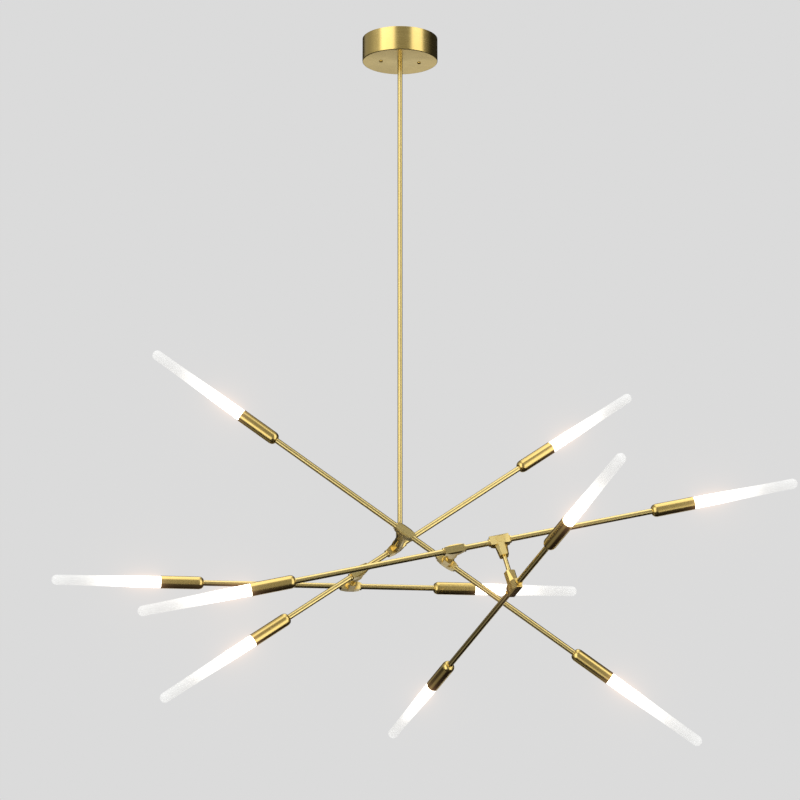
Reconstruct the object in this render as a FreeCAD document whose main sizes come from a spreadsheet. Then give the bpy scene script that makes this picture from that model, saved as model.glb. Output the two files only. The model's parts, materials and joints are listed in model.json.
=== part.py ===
"""Ten-light branching chandelier in satin brass.

A round ceiling canopy carries a thin stem.  At the foot of the stem a hub holds the first
swivel, and five straight arms branch from one another through four such swivels.  Every arm
is a tube with a lamp cup, an LED stick lamp and a frosted glass tube at each end.

Frame: millimetres, +Z up, origin at the centre of the canopy on the ceiling plane, the front
of the fixture towards -Y.  An arm's heading is the angle of its run about +Z from +X, and its
slope is the angle of the run above the horizontal.
"""
import FreeCAD, Part
import math
import os
import Sketcher
from FreeCAD import Placement, Rotation, Vector

doc = FreeCAD.newDocument("chandelier")

# ---------------------------------------------------------------- driving dimensions
DIMENSIONS = {
    # ceiling canopy
    "canopy_radius": 62.5,
    "canopy_height": 40.0,
    "canopy_wall": 1.5,
    "canopy_edge": 1.2,
    "canopy_turn": 7.5,
    "canopy_screw_spacing": 64.0,
    "canopy_screw_radius": 2.0,
    "canopy_screw_head_radius": 3.2,
    "canopy_screw_head_height": 2.0,
    "screw_clearance": 0.1,
    # ceiling bracket
    "strip_length": 106.0,
    "strip_width": 24.0,
    "strip_thickness": 2.5,
    "slot_spacing": 84.0,
    "slot_run": 8.0,
    "slot_radius": 2.3,
    "strip_centre_hole_radius": 5.0,
    "strip_part_offset": 17.0,
    "terminal_long": 14.0,
    "terminal_wide": 20.0,
    "terminal_deep": 13.0,
    "terminal_hole_radius": 1.6,
    "terminal_pitch": 6.0,
    "earth_screw_length": 7.0,
    # stem and hub
    "stem_radius": 4.0,
    "stem_bore": 3.0,
    "stem_drop": 802.0,
    "stem_head": 13.0,
    "nut_across": 13.0,
    "nut_height": 5.0,
    "hub_radius": 8.0,
    "hub_length": 26.0,
    "hub_boss_radius": 6.5,
    "hub_boss_height": 21.0,
    "hub_stem_seat": 5.0,
    # arms: tube, heading, slope, length between the cup backs
    "tube_radius": 4.5,
    "tube_bore": 3.5,
    "heading_arm_a": 2.5,
    "slope_arm_a": -35.5,
    "length_arm_a": 576.0,
    "heading_arm_b": 197.5,
    "slope_arm_b": -33.5,
    "length_arm_b": 468.0,
    "heading_arm_c": 188.0,
    "slope_arm_c": -12.0,
    "length_arm_c": 572.0,
    "heading_arm_d": 115.5,
    "slope_arm_d": -25.0,
    "length_arm_d": 361.0,
    "heading_arm_e": 11.0,
    "slope_arm_e": 0.0,
    "length_arm_e": 380.0,
    # places of the fittings, along each arm from its first cup back
    "place_a_to_stem": 250.0,
    "place_a_to_c": 332.0,
    "place_b_to_stem": 256.0,
    "place_b_to_e": 329.0,
    "place_c_to_a": 321.0,
    "place_c_to_d": 248.0,
    "place_d_to_c": 119.0,
    "place_e_to_b": 241.0,
    # tee fittings
    "tee_half_width": 15.5,
    "tee_half_depth": 7.5,
    "tee_end_depth": 5.2,
    "tee_flat_half": 6.0,
    "tee_back": 8.5,
    "tee_end_height": 6.4,
    "tee_shoulder_half": 9.6,
    "tee_shoulder": 7.6,
    "tee_reach": 27.5,
    "tee_neck_half": 6.8,
    "tee_bevel": 2.2,
    "tee_facet_reach": 12.2,
    "tee_collar_radius": 6.2,
    "tee_collar_end": 17.8,
    "tee_collar_start": 16.1,
    "tee_waist_radius": 5.2,
    "tee_ring_radius": 5.6,
    "tee_ring_width": 0.5,
    "tee_ring_depth": 0.3,
    # swivel links between the fittings
    "link_gap": 28.0,
    "link_radius": 3.5,
    "link_bore": 2.0,
    "link_seat": 14.0,
    "wire_hole_radius": 2.5,
    "running_clearance": 0.05,
    "link_groove_radius": 2.7,
    "link_groove_half": 1.6,
    "link_wire_radius": 1.8,
    # dog-point set screws
    "grub_radius": 2.0,
    "grub_length": 2.8,
    "grub_socket": 1.15,
    "grub_socket_depth": 1.6,
    "dog_radius": 1.2,
    "dog_length": 0.8,
    "dog_reach": 3.0,
    "dog_hole_radius": 1.3,
    "grub_place": 20.5,
    # lamp cups
    "cup_radius": 10.3,
    "cup_length": 69.0,
    "cup_floor": 8.0,
    "cup_bore": 8.6,
    "cup_round": 5.4,
    "cup_lip": 0.4,
    # frosted glass tubes
    "glass_radius": 9.2,
    "glass_tip_radius": 8.0,
    "glass_wall": 1.2,
    "glass_fit": 0.05,
    "glass_seat": 12.0,
    "glass_reach": 174.0,
    # lampholders and LED stick lamps
    "holder_radius": 8.2,
    "holder_length": 22.0,
    "holder_wire_radius": 1.5,
    "pin_radius": 0.7,
    "pin_hole_radius": 0.8,
    "pin_half_pitch": 4.5,
    "pin_length": 10.0,
    "lamp_base_radius": 7.0,
    "lamp_base_length": 16.0,
    "lamp_stick_radius": 5.5,
    "lamp_stick_length": 134.0,
}

sheet = doc.addObject("Spreadsheet::Sheet", "Dims")
for row, (alias, value) in enumerate(DIMENSIONS.items(), start=1):
    sheet.set("A%d" % row, alias)
    sheet.set("B%d" % row, str(value))
    sheet.setAlias("B%d" % row, alias)
doc.recompute()

ORIGIN_POINT = (-1, 1)
AXIS_ACROSS = -1
AXIS_UP = -2
SMALL = 1e-9
EDGE_TOLERANCE = 0.001
NEARLY_PARALLEL = 0.99
FULL_TURN = 360.0
HEX_SIDES = 6
PAST_FACE = 1.0
SIDES = (-1, 1)
ORIENTATION_ORDER = "ZXY"


def size(expression):
    """Value of an expression in the sheet's aliases, written with the prefix Dims."""
    return float(sheet.evalExpression(expression))


def dim(alias):
    """Value of one driving dimension."""
    return size("Dims." + alias)


# ---------------------------------------------------------------- sketch and feature helpers
def new_body(name):
    body = doc.addObject("PartDesign::Body", name)
    body.Label = name
    return body


def new_sketch(body, name, plane):
    sketch = body.newObject("Sketcher::SketchObject", body.Name + "_" + name)
    feature = [item for item in body.Origin.OriginFeatures if item.Role == plane][0]
    sketch.AttachmentSupport = [(feature, "")]
    sketch.MapMode = "FlatFace"
    return sketch


def fix_point(sketch, geometry, position, across, up):
    """Hold one point of a sketch at (across, up), both given as expressions."""
    for kind, axis, expression in (("DistanceX", AXIS_UP, across), ("DistanceY", AXIS_ACROSS, up)):
        value = size(expression)
        if abs(value) < SMALL:
            sketch.addConstraint(Sketcher.Constraint("PointOnObject", geometry, position, axis))
            continue
        ends = ORIGIN_POINT + (geometry, position)
        if value < 0:
            ends = (geometry, position) + ORIGIN_POINT
            expression = "-1 * (%s)" % expression
        index = sketch.addConstraint(Sketcher.Constraint(kind, *ends, abs(value)))
        sketch.setExpression("Constraints[%d]" % index, expression)


def polygon(sketch, corners):
    """Closed outline through corners, each a pair of expressions."""
    points = [Vector(size(across), size(up), 0) for across, up in corners]
    first = sketch.GeometryCount
    count = len(points)
    for index in range(count):
        sketch.addGeometry(Part.LineSegment(points[index], points[(index + 1) % count]))
    for index in range(count):
        following = first + (index + 1) % count
        sketch.addConstraint(Sketcher.Constraint("Coincident", first + index, 2, following, 1))
        fix_point(sketch, first + index, 1, *corners[index])


def circle(sketch, radius, across="0", up="0"):
    """Circle whose radius and centre are expressions."""
    centre = Vector(size(across), size(up), 0)
    index = sketch.addGeometry(Part.Circle(centre, Vector(0, 0, 1), size(radius)))
    fix_point(sketch, index, 3, across, up)
    rule = sketch.addConstraint(Sketcher.Constraint("Radius", index, size(radius)))
    sketch.setExpression("Constraints[%d]" % rule, radius)


def rectangle(sketch, left, right, low, high):
    polygon(sketch, [(left, low), (right, low), (right, high), (left, high)])


def octagon(end_corner, side_corner):
    """Signs and sizes of eight corners in order, symmetric about both axes."""
    corners = []
    for across, deep in ((1, -1), (1, 1), (-1, 1), (-1, -1)):
        pair = [(across, deep) + end_corner, (across, deep) + side_corner]
        corners += pair if across * deep > 0 else pair[::-1]
    return corners


def solid_feature(body, kind, sketch, length=None, both=False, flip=False):
    """Pad or Pocket of a sketch; both spreads it to the two sides of the plane."""
    feature = body.newObject("PartDesign::" + kind, sketch.Name + "_" + kind.lower())
    feature.Profile = sketch
    feature.SideType = "Symmetric" if both else "One side"
    feature.Reversed = flip
    feature.setExpression("Length", length)
    body.Tip = feature
    return feature


def turned_feature(body, kind, sketch, axis):
    """Revolution or Groove of a sketch through a full turn about H_Axis or V_Axis."""
    feature = body.newObject("PartDesign::" + kind, sketch.Name + "_" + kind.lower())
    feature.Profile = sketch
    feature.ReferenceAxis = (sketch, [axis])
    feature.Angle = FULL_TURN
    body.Tip = feature
    return feature


def dress_edges(body, kind, base, chosen, amount):
    """Fillet or Chamfer of the edges of base for which chosen(edge) is true."""
    names = ["Edge%d" % (i + 1) for i, edge in enumerate(base.Shape.Edges) if chosen(edge)]
    feature = body.newObject("PartDesign::" + kind, base.Name + "_" + kind.lower())
    feature.Base = (base, names)
    feature.setExpression("Radius" if kind == "Fillet" else "Size", amount)
    body.Tip = feature
    return feature


def outer_circle_at(height, radius):
    """Test for the level circular edge of a radius at a height, in the body's own frame."""
    def chosen(edge):
        box = edge.BoundBox
        level = abs(box.ZMin - height) < EDGE_TOLERANCE and abs(box.ZMax - height) < EDGE_TOLERANCE
        return level and abs(box.XMax - radius) < EDGE_TOLERANCE
    return chosen


# ---------------------------------------------------------------- primitive helpers
def primitive(kind, name, place=None, **sizes):
    """Part primitive with its sizes bound to expressions."""
    item = doc.addObject("Part::" + kind, name)
    for name_of_size, expression in sizes.items():
        item.setExpression(name_of_size, expression)
    if place is not None:
        item.Placement = place
    return item


def fuse(name, pieces):
    item = doc.addObject("Part::MultiFuse", name)
    item.Shapes = pieces
    return item


def cut(name, base, tools):
    item = doc.addObject("Part::Cut", name)
    item.Base = base
    item.Tool = tools[0] if len(tools) == 1 else fuse(name + "_tools", tools)
    return item


def group(name, pieces):
    item = doc.addObject("Part::Compound", name)
    item.Links = pieces
    return item


def at(across=0.0, deep=0.0, up=0.0):
    return Placement(Vector(across, deep, up), Rotation())


def aimed(origin, axis, side=Vector(0, 0, 1)):
    """Placement whose Z runs along axis and whose X lies as near side as it can."""
    if abs(axis.normalize().dot(side)) > NEARLY_PARALLEL:
        side = Vector(1, 0, 0)
    across = side - axis * side.dot(axis)
    return Placement(origin, Rotation(across, axis.cross(across), axis, ORIENTATION_ORDER))


# ---------------------------------------------------------------- arms and swivels in space
ARMS = {
    "a": {"ends": ("left", "right"), "fittings": ("a_to_stem", "a_to_c")},
    "b": {"ends": ("right", "left"), "fittings": ("b_to_stem", "b_to_e")},
    "c": {"ends": ("right", "left"), "fittings": ("c_to_a", "c_to_d")},
    "d": {"ends": ("right", "left"), "fittings": ("d_to_c",)},
    "e": {"ends": ("left", "right"), "fittings": ("e_to_b",)},
}
CLAMPED_FITTINGS = ("a_to_c", "b_to_e", "c_to_d")
AWAY = Vector(0, 1, 0)
TOWARDS_FRONT = Vector(0, -1, 0)
DOWN = Vector(0, 0, -1)


def run_of(arm):
    """Unit vector of an arm from its first cup to its second."""
    heading = math.radians(dim("heading_arm_" + arm))
    slope = math.radians(dim("slope_arm_" + arm))
    level = math.cos(slope)
    return Vector(level * math.cos(heading), level * math.sin(heading), math.sin(slope))


def square_to(first, second, sense):
    """Unit vector at right angles to two arms, on the side of sense."""
    axis = run_of(first).cross(run_of(second)).normalize()
    return axis if axis.dot(sense) > 0 else axis * -1


hub_centre = Vector(0, 0, -dim("canopy_height") - dim("stem_drop"))
swivel_span = size("2 * Dims.tee_reach + Dims.link_gap")

axis_stem = square_to("a", "b", AWAY)
axis_ac = square_to("a", "c", TOWARDS_FRONT)
axis_be = square_to("b", "e", AWAY)
axis_cd = square_to("c", "d", DOWN)

fitting_centre = {}
fitting_neck = {}
arm_start = {}


def place_pair(near, far, start, axis):
    """Set two fittings neck to neck, with near at start and far a swivel span beyond it."""
    fitting_centre[near] = start
    fitting_centre[far] = start + axis * swivel_span
    fitting_neck[near] = axis
    fitting_neck[far] = axis * -1
    for fitting in (near, far):
        arm = fitting[0]
        if arm not in arm_start:
            arm_start[arm] = fitting_centre[fitting] - run_of(arm) * dim("place_" + fitting)


def along(arm, distance):
    return arm_start[arm] + run_of(arm) * distance


place_pair("a_to_stem", "b_to_stem", hub_centre - axis_stem * (swivel_span / 2), axis_stem)
place_pair("a_to_c", "c_to_a", along("a", dim("place_a_to_c")), axis_ac)
place_pair("b_to_e", "e_to_b", along("b", dim("place_b_to_e")), axis_be)
place_pair("c_to_d", "d_to_c", along("c", dim("place_c_to_d")), axis_cd)


def fitting_place(fitting):
    """Fitting frame: X along the arm, Z up the neck, -Y the face towards the front."""
    neck = fitting_neck[fitting]
    across = run_of(fitting[0])
    if neck.cross(across).y < 0:
        across = across * -1
    rotation = Rotation(across, neck.cross(across), neck, ORIENTATION_ORDER)
    return Placement(fitting_centre[fitting], rotation)


def cup_place(arm, end):
    """Cup frame: origin at the cup back, Z towards the tip of the glass."""
    outward = run_of(arm)
    distance = dim("length_arm_" + arm)
    if end == ARMS[arm]["ends"][0]:
        outward = outward * -1
        distance = 0.0
    return aimed(along(arm, distance), outward)


# ---------------------------------------------------------------- canopy group
def turned_with_canopy():
    return Placement(Vector(), Rotation(Vector(0, 0, 1), dim("canopy_turn")))


def make_canopy_cover():
    """Spun cover, open to the ceiling, with the stem hole and two screw holes in its floor."""
    body = new_body("canopy_cover")
    profile = new_sketch(body, "profile", "XZ_Plane")
    floor = "Dims.canopy_wall - Dims.canopy_height"
    polygon(profile, [
        ("Dims.stem_radius + Dims.screw_clearance", "-1 * Dims.canopy_height"),
        ("Dims.canopy_radius", "-1 * Dims.canopy_height"),
        ("Dims.canopy_radius", "0"),
        ("Dims.canopy_radius - Dims.canopy_wall", "0"),
        ("Dims.canopy_radius - Dims.canopy_wall", floor),
        ("Dims.stem_radius + Dims.screw_clearance", floor),
    ])
    turned_feature(body, "Revolution", profile, "V_Axis")
    holes = new_sketch(body, "holes", "XY_Plane")
    for side in SIDES:
        circle(holes, "Dims.canopy_screw_radius + Dims.screw_clearance",
               "%d * Dims.canopy_screw_spacing / 2" % side)
    drilled = solid_feature(body, "Pocket", holes, "2 * Dims.canopy_height", both=True)
    doc.recompute()

    rim = outer_circle_at(-dim("canopy_height"), dim("canopy_radius"))
    dress_edges(body, "Fillet", drilled, rim, "Dims.canopy_edge")
    body.Placement = turned_with_canopy()
    return body


def make_ceiling_bracket():
    """Flat steel strip with two fixing slots, two screw holes, an earth hole and a wire hole."""
    body = new_body("ceiling_bracket")
    strip = new_sketch(body, "strip", "XY_Plane")
    rectangle(strip, "-0.5 * Dims.strip_length", "0.5 * Dims.strip_length",
              "-0.5 * Dims.strip_width", "0.5 * Dims.strip_width")
    solid_feature(body, "Pad", strip, "Dims.strip_thickness", flip=True)
    holes = new_sketch(body, "holes", "XY_Plane")
    circle(holes, "Dims.strip_centre_hole_radius")
    circle(holes, "Dims.canopy_screw_radius", "Dims.strip_part_offset")
    middles = new_sketch(body, "slot_middles", "XY_Plane")
    for side in SIDES:
        reach = "%d * Dims.canopy_screw_spacing / 2" % side
        circle(holes, "Dims.canopy_screw_radius", reach + " * cos(Dims.canopy_turn)",
               reach + " * sin(Dims.canopy_turn)")
        centre = "%d * Dims.slot_spacing / 2" % side
        rectangle(middles, centre + " - Dims.slot_run / 2", centre + " + Dims.slot_run / 2",
                  "-1 * Dims.slot_radius", "Dims.slot_radius")
        for end in SIDES:
            circle_sketch = new_sketch(body, "slot_end_%d%d" % (side > 0, end > 0), "XY_Plane")
            circle(circle_sketch, "Dims.slot_radius", centre + " + %d * Dims.slot_run / 2" % end)
            solid_feature(body, "Pocket", circle_sketch, "4 * Dims.strip_thickness", both=True)
    solid_feature(body, "Pocket", middles, "4 * Dims.strip_thickness", both=True)
    solid_feature(body, "Pocket", holes, "4 * Dims.strip_thickness", both=True)
    return body


def make_headed_screw(name, across, head_low, shank_high):
    """Upright screw with its head down, standing at across along X."""
    head = primitive("Cylinder", name + "_head", at(across, 0, head_low),
                     Radius="Dims.canopy_screw_head_radius",
                     Height="Dims.canopy_screw_head_height")
    shank = primitive("Cylinder", name + "_shank",
                      at(across, 0, head_low + dim("canopy_screw_head_height")),
                      Radius="Dims.canopy_screw_radius")
    shank.Height = shank_high - head_low - dim("canopy_screw_head_height")
    socket = primitive("Prism", name + "_socket", at(across, 0, head_low),
                       Circumradius="Dims.grub_socket",
                       Height="Dims.canopy_screw_head_height / 2")
    socket.Polygon = HEX_SIDES
    return cut(name, fuse(name + "_blank", [head, shank]), [socket])


def make_canopy_screws():
    """Two screws up through the canopy floor into the bracket."""
    low = -dim("canopy_height") - dim("canopy_screw_head_height")
    screws = [make_headed_screw("canopy_screw_%d" % (side > 0),
                                side * dim("canopy_screw_spacing") / 2, low, 0.0)
              for side in SIDES]
    item = group("canopy_screws", screws)
    item.Placement = turned_with_canopy()
    return item


def make_earth_screw():
    """Screw in the bracket for the earth wire."""
    low = -dim("earth_screw_length") - dim("canopy_screw_head_height")
    return make_headed_screw("earth_screw", dim("strip_part_offset"), low, 0.0)


def make_terminal_block():
    """Three-pole block under the bracket, a wire hole through each pole along X."""
    low = -dim("strip_thickness") - dim("terminal_deep")
    corner = at(-dim("strip_part_offset") - dim("terminal_long") / 2, -dim("terminal_wide") / 2, low)
    block = primitive("Box", "terminal_body", corner, Length="Dims.terminal_long",
                      Width="Dims.terminal_wide", Height="Dims.terminal_deep")
    holes = []
    for pole in (-1, 0, 1):
        start = Vector(-dim("strip_part_offset") - dim("terminal_long"),
                       pole * dim("terminal_pitch"), low + dim("terminal_deep") / 2)
        holes.append(primitive("Cylinder", "terminal_hole_%d" % (pole + 1),
                               aimed(start, Vector(1, 0, 0)),
                               Radius="Dims.terminal_hole_radius",
                               Height="2 * Dims.terminal_long"))
    return cut("terminal_block", block, holes)


# ---------------------------------------------------------------- stem group
def make_stem():
    """Tube from just above the canopy floor down into the hub boss."""
    body = new_body("stem")
    ring = new_sketch(body, "ring", "XY_Plane")
    circle(ring, "Dims.stem_radius")
    circle(ring, "Dims.stem_bore")
    solid_feature(body, "Pad", ring, "Dims.stem_drop + Dims.stem_head - Dims.hub_stem_seat")
    body.Placement = at(up=hub_centre.z + dim("hub_stem_seat"))
    return body


def make_stem_lock_nut():
    """Hexagon nut that holds the stem in the canopy floor."""
    blank = primitive("Prism", "nut_blank", None, Height="Dims.nut_height",
                      Circumradius="Dims.nut_across / 2 / cos(30)")
    blank.Polygon = HEX_SIDES
    bore = primitive("Cylinder", "nut_bore", None, Radius="Dims.stem_radius",
                     Height="Dims.nut_height")
    item = cut("stem_lock_nut", blank, [bore])
    item.Placement = at(up=dim("canopy_wall") - dim("canopy_height"))
    return item


def make_stem_hub():
    """Barrel along the swivel axis with an upright boss that the stem screws into."""
    along_axis = aimed(axis_stem * (-dim("hub_length") / 2), axis_stem)
    barrel = primitive("Cylinder", "hub_barrel", along_axis, Radius="Dims.hub_radius",
                       Height="Dims.hub_length")
    boss = primitive("Cylinder", "hub_boss", None, Radius="Dims.hub_boss_radius",
                     Height="Dims.hub_boss_height")
    link_bore = primitive("Cylinder", "hub_link_bore", along_axis, Radius="Dims.link_radius",
                          Height="Dims.hub_length")
    stem_bore = primitive("Cylinder", "hub_stem_bore", at(up=dim("hub_stem_seat")),
                          Radius="Dims.stem_radius", Height="Dims.hub_boss_height")
    wires = primitive("Cylinder", "hub_wire_hole", None, Radius="Dims.link_wire_radius",
                      Height="Dims.hub_boss_height")
    item = cut("stem_hub", fuse("hub_blank", [barrel, boss]), [link_bore, stem_bore, wires])
    item.Placement = Placement(hub_centre, Rotation())
    return item


# ---------------------------------------------------------------- swivels
def groove_ring(name, height):
    """Ring that turns a retaining groove in a link, centred at height along it."""
    low = at(up=height - dim("link_groove_half"))
    outer = primitive("Cylinder", name + "_outer", low, Radius="2 * Dims.link_radius",
                      Height="2 * Dims.link_groove_half")
    inner = primitive("Cylinder", name + "_inner", low, Radius="Dims.link_groove_radius",
                      Height="2 * Dims.link_groove_half")
    return cut(name, outer, [inner])


def make_link(name, near, far, near_is_fixed):
    """Hollow link between two necks; each loose end has a groove for the dog point."""
    centre = (fitting_centre[near] + fitting_centre[far]) * 0.5
    half = dim("link_gap") / 2 + dim("link_seat")
    screw_height = swivel_span / 2 - dim("grub_place")
    tube = primitive("Cylinder", name + "_tube", at(up=-half), Radius="Dims.link_radius",
                     Height="Dims.link_gap + 2 * Dims.link_seat")
    bore = primitive("Cylinder", name + "_bore", at(up=-half), Radius="Dims.link_bore",
                     Height="Dims.link_gap + 2 * Dims.link_seat")
    frame = fitting_place(near)
    tools = [bore, groove_ring(name + "_far_groove", screw_height)]
    if near_is_fixed:
        seat = Vector(0, dim("dog_reach"), -screw_height)
        tools.append(primitive("Cylinder", name + "_dimple", aimed(seat, Vector(0, 1, 0)),
                               Radius="Dims.dog_hole_radius", Height="Dims.link_radius"))
    else:
        tools.append(groove_ring(name + "_near_groove", -screw_height))
        upright = frame.Rotation.inverted().multVec(Vector(0, 0, 1))
        tools.append(primitive("Cylinder", name + "_wire_hole", aimed(Vector(), upright),
                               Radius="Dims.link_wire_radius", Height="2 * Dims.link_radius"))
    item = cut(name, tube, tools)
    item.Placement = Placement(centre, frame.Rotation)
    return item


# ---------------------------------------------------------------- tee fittings
def make_tee_fitting(fitting, bore_radius):
    """Machined tee: faceted crossbar with a turned collar at each end, and a tapered neck."""
    body = new_body("tee_fitting_" + fitting)
    front = new_sketch(body, "front", "XZ_Plane")
    right_half = [
        ("Dims.tee_half_width", "-1 * Dims.tee_back"),
        ("Dims.tee_half_width", "Dims.tee_end_height"),
        ("Dims.tee_shoulder_half", "Dims.tee_shoulder"),
        ("Dims.tee_neck_half", "Dims.tee_reach"),
    ]
    left_half = [("-1 * " + across, up) for across, up in reversed(right_half)]
    polygon(front, right_half + left_half)
    solid_feature(body, "Pad", front, "2 * Dims.tee_half_depth", both=True)

    plan = new_sketch(body, "plan", "XY_Plane")
    polygon(plan, [
        ("%d * %s" % (across, wide), "%d * %s" % (deep, thick))
        for across, deep, wide, thick in octagon(("Dims.tee_half_width", "Dims.tee_end_depth"),
                                                 ("Dims.tee_flat_half", "Dims.tee_half_depth"))
    ])
    rectangle(plan, "-2 * Dims.tee_half_width", "2 * Dims.tee_half_width",
              "-2 * Dims.tee_half_depth", "2 * Dims.tee_half_depth")
    solid_feature(body, "Pocket", plan, "3 * Dims.tee_reach", both=True)

    facets = new_sketch(body, "neck_facets", "XY_Plane")
    facets.setExpression("AttachmentOffset.Base.z", "Dims.tee_shoulder")
    narrow = "(Dims.tee_facet_reach - Dims.tee_half_depth)"
    low = "(Dims.tee_facet_reach - Dims.tee_shoulder_half)"
    polygon(facets, [
        ("%d * %s" % (across, wide), "%d * %s" % (deep, thick))
        for across, deep, wide, thick in octagon(("Dims.tee_shoulder_half", low),
                                                 (narrow, "Dims.tee_half_depth"))
    ])
    rectangle(facets, "-2 * Dims.tee_half_width", "2 * Dims.tee_half_width",
              "-2 * Dims.tee_half_depth", "2 * Dims.tee_half_depth")
    solid_feature(body, "Pocket", facets, "Dims.tee_reach", flip=True)

    bevels = new_sketch(body, "back_bevels", "YZ_Plane")
    for side in SIDES:
        polygon(bevels, [
            ("%d * Dims.tee_half_depth" % side, "-1 * Dims.tee_back"),
            ("%d * (Dims.tee_half_depth - Dims.tee_bevel)" % side, "-1 * Dims.tee_back"),
            ("%d * Dims.tee_half_depth" % side, "Dims.tee_bevel - Dims.tee_back"),
        ])
    solid_feature(body, "Pocket", bevels, "3 * Dims.tee_half_width", both=True)

    collars = new_sketch(body, "collars", "XZ_Plane")
    polygon(collars, [
        ("-1 * Dims.tee_collar_end", "0"),
        ("-1 * Dims.tee_collar_end", "Dims.tee_collar_radius"),
        ("-1 * Dims.tee_collar_start", "Dims.tee_collar_radius"),
        ("-1 * Dims.tee_collar_start", "Dims.tee_waist_radius"),
        ("Dims.tee_collar_start", "Dims.tee_waist_radius"),
        ("Dims.tee_collar_start", "Dims.tee_collar_radius"),
        ("Dims.tee_collar_end", "Dims.tee_collar_radius"),
        ("Dims.tee_collar_end", "0"),
    ])
    turned_feature(body, "Revolution", collars, "H_Axis")

    arm_bore = new_sketch(body, "arm_bore", "YZ_Plane")
    circle(arm_bore, "Dims.tube_radius")
    solid_feature(body, "Pocket", arm_bore, "3 * Dims.tee_collar_end", both=True)

    neck_bore = new_sketch(body, "neck_bore", "XZ_Plane")
    seat = "Dims.tee_reach - Dims.link_seat"
    mouth = "Dims.tee_reach + %g" % PAST_FACE
    polygon(neck_bore, [
        ("0", "0"), ("Dims.wire_hole_radius", "0"), ("Dims.wire_hole_radius", seat),
        (bore_radius, seat), (bore_radius, mouth), ("0", mouth),
    ])
    turned_feature(body, "Groove", neck_bore, "V_Axis")

    neck_screw = new_sketch(body, "neck_screw", "XZ_Plane")
    circle(neck_screw, "Dims.grub_radius", "0", "Dims.grub_place")
    solid_feature(body, "Pocket", neck_screw, "2 * Dims.tee_half_depth")
    bar_screw = new_sketch(body, "bar_screw", "XZ_Plane")
    circle(bar_screw, "Dims.grub_radius")
    solid_feature(body, "Pocket", bar_screw, "2 * Dims.tee_half_depth")

    ring = new_sketch(body, "ring", "XY_Plane")
    for side in SIDES:
        bottom = "%d * (Dims.tee_half_depth - Dims.tee_ring_depth)" % side
        top = "%d * (Dims.tee_half_depth + %g)" % (side, PAST_FACE)
        rectangle(ring, "Dims.tee_ring_radius - Dims.tee_ring_width", "Dims.tee_ring_radius",
                  bottom, top)
    turned_feature(body, "Groove", ring, "V_Axis")
    body.Placement = fitting_place(fitting)
    return body


def make_grub(name, place):
    """Dog-point set screw: Z points inwards and the origin is at the tip of the dog."""
    dog = primitive("Cylinder", name + "_dog", at(up=-dim("dog_length")),
                    Radius="Dims.dog_radius", Height="Dims.dog_length")
    low = -dim("dog_length") - dim("grub_length")
    thread = primitive("Cylinder", name + "_thread", at(up=low), Radius="Dims.grub_radius",
                       Height="Dims.grub_length")
    socket = primitive("Prism", name + "_socket", at(up=low), Circumradius="Dims.grub_socket",
                       Height="Dims.grub_socket_depth")
    socket.Polygon = HEX_SIDES
    item = cut(name, fuse(name + "_blank", [dog, thread]), [socket])
    item.Placement = place
    return item


def make_arm_set_screws(arm):
    """One screw in each neck and one in each crossbar, all alike and on the back face."""
    screws = []
    for fitting in ARMS[arm]["fittings"]:
        frame = fitting_place(fitting)
        in_neck = Vector(0, dim("dog_reach"), dim("grub_place"))
        in_bar = Vector(0, dim("tube_radius") - dim("dog_length"), 0)
        for name, tip in (("neck_screw_", in_neck), ("bar_screw_", in_bar)):
            place = frame.multiply(aimed(tip, Vector(0, -1, 0)))
            screws.append(make_grub(name + fitting, place))
    return group("set_screws_arm_" + arm, screws)


# ---------------------------------------------------------------- arms
def make_arm_tube(arm):
    """Brass tube reaching the cup floors, with a wire hole and a dog hole at each fitting."""
    name = "arm_tube_" + arm
    frame = aimed(along(arm, -dim("cup_floor")), run_of(arm))
    full = "Dims.length_arm_%s + 2 * Dims.cup_floor" % arm
    outer = primitive("Cylinder", name + "_outer", None, Radius="Dims.tube_radius", Height=full)
    bore = primitive("Cylinder", name + "_bore", None, Radius="Dims.tube_bore", Height=full)
    tools = [bore]
    for fitting in ARMS[arm]["fittings"]:
        into_tube = frame.Rotation.inverted()
        neck = into_tube.multVec(fitting_neck[fitting])
        back = into_tube.multVec(fitting_place(fitting).Rotation.multVec(Vector(0, 1, 0)))
        spot = Vector(0, 0, dim("cup_floor") + dim("place_" + fitting))
        tools.append(primitive("Cylinder", name + "_wires_" + fitting, aimed(spot, neck),
                               Radius="Dims.wire_hole_radius", Height="2 * Dims.tube_radius"))
        tools.append(primitive("Cylinder", name + "_dog_" + fitting, aimed(spot, back),
                               Radius="Dims.dog_hole_radius", Height="2 * Dims.tube_radius"))
    item = cut(name, outer, tools)
    item.Placement = frame
    return item


def make_lamp_cup(arm, end):
    """Turned cup: rounded back screwed on the arm, lampholder space, and a glass seat."""
    body = new_body("lamp_cup_%s_%s" % (arm, end))
    profile = new_sketch(body, "profile", "XZ_Plane")
    mouth = "Dims.glass_radius + Dims.glass_fit"
    seat = "Dims.cup_length - Dims.glass_seat"
    polygon(profile, [
        ("Dims.tube_radius", "0"), ("Dims.cup_radius", "0"),
        ("Dims.cup_radius", "Dims.cup_length"), (mouth, "Dims.cup_length"), (mouth, seat),
        ("Dims.cup_bore", seat), ("Dims.cup_bore", "Dims.cup_floor"),
        ("Dims.tube_radius", "Dims.cup_floor"),
    ])
    turned = turned_feature(body, "Revolution", profile, "V_Axis")
    doc.recompute()

    back = outer_circle_at(0.0, dim("cup_radius"))
    rounded = dress_edges(body, "Fillet", turned, back, "Dims.cup_round")
    doc.recompute()
    lip = outer_circle_at(dim("cup_length"), dim("cup_radius"))
    dress_edges(body, "Chamfer", rounded, lip, "Dims.cup_lip")
    body.Placement = cup_place(arm, end)
    return body


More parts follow.
